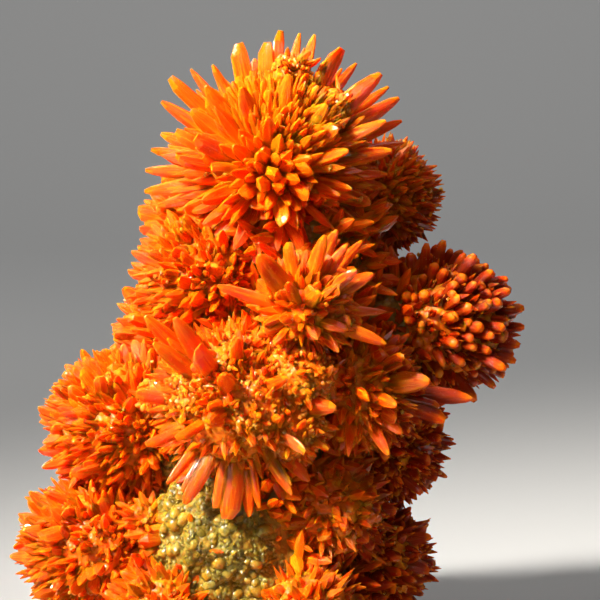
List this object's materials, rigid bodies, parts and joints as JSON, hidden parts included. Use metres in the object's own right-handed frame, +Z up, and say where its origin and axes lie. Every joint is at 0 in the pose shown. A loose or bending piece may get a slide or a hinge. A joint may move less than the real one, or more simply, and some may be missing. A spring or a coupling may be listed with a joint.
{
  "type": "calcite crystal cluster",
  "caption": "Mineral specimen: orange balls of radiating spindle crystals grown on a pale granular column, cut flat below to stand upright.",
  "frame": {"origin": "on the flat cut face that the specimen rests on, under the crown of crystals", "axes": "+Z up along the column, +X to the viewer's right, +Y away from the viewer of the show side"},
  "size_m": [0.0521, 0.0417, 0.0618],
  "materials": {
    "orange_calcite": "gloss",
    "pale_calcite": "satin"
  },
  "bodies": {
    "root": {"pale_matrix": "pale_calcite", "crown_spray": "orange_calcite", "shoulder_spray": "orange_calcite", "heart_spray": "orange_calcite", "belly_spray": "orange_calcite", "flank_spray": "orange_calcite", "right_spray": "orange_calcite", "nape_spray": "orange_calcite", "hip_spray": "orange_calcite", "knee_spray": "orange_calcite", "heel_spray": "orange_calcite", "left_spray": "orange_calcite", "lower_left_spray": "orange_calcite", "left_foot_spray": "orange_calcite", "right_foot_spray": "orange_calcite", "back_crown_spray": "orange_calcite", "back_upper_spray": "orange_calcite", "back_left_spray": "orange_calcite", "back_right_spray": "orange_calcite", "back_foot_spray": "orange_calcite", "back_left_foot_spray": "orange_calcite"}
  },
  "joints": []
}
